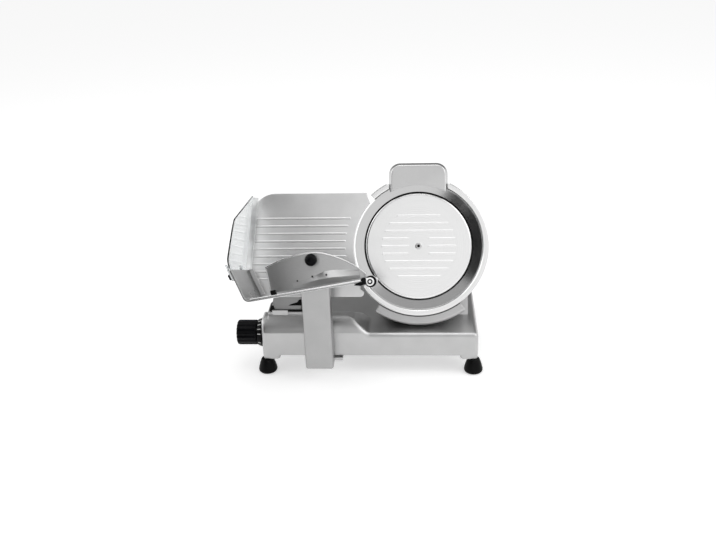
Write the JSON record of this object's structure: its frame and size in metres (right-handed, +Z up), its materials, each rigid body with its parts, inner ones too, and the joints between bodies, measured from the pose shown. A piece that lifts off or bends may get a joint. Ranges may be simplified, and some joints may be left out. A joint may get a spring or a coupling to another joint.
{
  "type": "food slicer",
  "caption": "Gravity-feed food slicer: leaning round blade with ring guard and cover, gauge plate set by a dial, and a sliding tray with pusher on a cast base with rubber feet.",
  "frame": {"origin": "middle of the machine's footprint, on the table", "axes": "+X to the operator's right along the carriage stroke, +Y away from the operator, +Z up"},
  "size_m": [0.442, 0.376, 0.3435],
  "materials": {
    "cast_aluminium": "fine satin anodised casting",
    "polished_aluminium": "bright machined",
    "steel": "ground and polished",
    "black_plastic": "moulded satin",
    "rubber": "matt moulded",
    "clear_plastic": "clear moulded",
    "green_plastic": "moulded",
    "red_plastic": "moulded",
    "grit_stone": "bonded abrasive",
    "copper_winding": "varnished",
    "circuit_board": "solder mask"
  },
  "bodies": {
    "root": {"base_casting": "cast_aluminium", "bottom_cover": "steel", "foot_1": "rubber", "foot_2": "rubber", "foot_3": "rubber", "foot_4": "rubber", "ring_guard": "polished_aluminium", "guard_end_screw": "steel", "spindle": "steel", "bearing_front": "steel", "bearing_rear": "steel", "blade_cover": "polished_aluminium", "cover_screw": "steel", "cover_tie_rod": "steel", "motor_cover": "cast_aluminium", "motor_stator": "copper_winding", "drive_belt": "rubber", "slice_deflector": "steel", "switch_plate": "black_plastic", "cable_gland": "black_plastic", "control_board": "circuit_board", "gauge_rod": "steel", "gauge_seal": "rubber", "carriage_rod": "steel", "sharpener_post": "steel"},
    "blade": {"blade": "steel", "hub_pulley": "cast_aluminium"},
    "motor": {"motor_rotor": "steel", "motor_pulley": "steel"},
    "tie_knob": {"cover_tie_knob": "black_plastic"},
    "on_key": {"on_button": "green_plastic"},
    "off_key": {"off_button": "red_plastic"},
    "dial": {"dial_shaft_cam": "steel", "dial_collar": "black_plastic", "dial_knob": "black_plastic"},
    "gauge": {"gauge_plate": "cast_aluminium", "gauge_support": "cast_aluminium", "follower_pin": "steel"},
    "carriage": {"carriage_block": "cast_aluminium", "carriage_bush": "copper_winding", "carriage_glide": "black_plastic", "carriage_arm": "cast_aluminium", "tray": "cast_aluminium", "tray_stop": "rubber", "hand_guard": "clear_plastic", "shield_screw_1": "black_plastic", "shield_screw_2": "black_plastic", "rod_holder_rear": "black_plastic", "rod_holder_front": "black_plastic", "pusher_rod": "steel"},
    "tray_lock": {"tray_lock_knob": "black_plastic"},
    "pusher_slider": {"pusher_sleeve": "black_plastic"},
    "pusher": {"pusher_plate": "steel", "pusher_knob": "black_plastic"},
    "sharpener": {"sharpener_housing": "cast_aluminium"},
    "sharpening_key": {"sharpening_stone": "grit_stone", "sharpening_button": "black_plastic"},
    "truing_key": {"truing_stone": "grit_stone", "truing_button": "black_plastic"},
    "sharpener_lock": {"sharpener_lock_knob": "black_plastic"}
  },
  "joints": [
    {"name": "blade_spin", "type": "hinge", "parent": "root", "child": "blade", "pos_m": [0.1, -0.00201, 0.21], "axis": [0, -0.9063, 0.4226], "continuous": true},
    {"name": "motor_spin", "type": "hinge", "parent": "root", "child": "motor", "pos_m": [0.134, 0.01856, 0.11214], "axis": [0, -0.9063, 0.4226], "continuous": true},
    {"name": "carriage_slide", "type": "slide", "parent": "root", "child": "carriage", "axis": [1, 0, 0], "range_m": [0, 0.195]},
    {"name": "pusher_slide", "type": "slide", "parent": "carriage", "child": "pusher_slider", "axis": [0, 0.9063, -0.4226], "range_m": [0, 0.078]},
    {"name": "pusher_swing", "type": "hinge", "parent": "pusher_slider", "child": "pusher", "pos_m": [0.02322, -0.13404, 0.20607], "axis": [0, 0.9063, -0.4226], "range_deg": [0, 75]},
    {"name": "dial_turn", "type": "hinge", "parent": "root", "child": "dial", "pos_m": [-0.175, -0.04601, 0.064], "axis": [1, 0, 0], "range_deg": [0, 330]},
    {"name": "gauge_slide", "type": "slide", "parent": "root", "child": "gauge", "axis": [0, 0.9063, -0.4226], "range_m": [0, 0.0125]},
    {"name": "sharpener_lift", "type": "slide", "parent": "root", "child": "sharpener", "axis": [0, 0.4226, 0.9063], "range_m": [0, 0.03]},
    {"name": "sharpening_press", "type": "slide", "parent": "sharpener", "child": "sharpening_key", "axis": [0, -0.9063, 0.4226], "range_m": [0, 0.004], "stiffness_N_per_m": 400},
    {"name": "truing_press", "type": "slide", "parent": "sharpener", "child": "truing_key", "axis": [0, -0.9063, 0.4226], "range_m": [0, 0.004], "stiffness_N_per_m": 400},
    {"name": "sharpener_lock_turn", "type": "hinge", "parent": "sharpener", "child": "sharpener_lock", "pos_m": [0.1, 0.10151, 0.30186], "axis": [0, -0.9063, 0.4226], "range_deg": [0, 180]},
    {"name": "tie_knob_turn", "type": "hinge", "parent": "root", "child": "tie_knob", "pos_m": [0.1, 0.12487, 0.15083], "axis": [0, -0.9063, 0.4226], "range_deg": [0, 350]},
    {"name": "tray_lock_turn", "type": "hinge", "parent": "carriage", "child": "tray_lock", "pos_m": [-0.071, -0.07401, 0.128], "axis": [0, 1, 0], "range_deg": [0, 180]},
    {"name": "on_press", "type": "slide", "parent": "root", "child": "on_key", "axis": [0, -1, 0], "range_m": [0, 0.003], "stiffness_N_per_m": 500},
    {"name": "off_press", "type": "slide", "parent": "root", "child": "off_key", "axis": [0, -1, 0], "range_m": [0, 0.003], "stiffness_N_per_m": 500}
  ],
  "couplings": [
    {"joint": "motor_spin", "follows": "blade_spin", "ratio": 3.3333},
    {"joint": "dial_turn", "follows": "gauge_slide", "rad_per_m": 460.77}
  ]
}
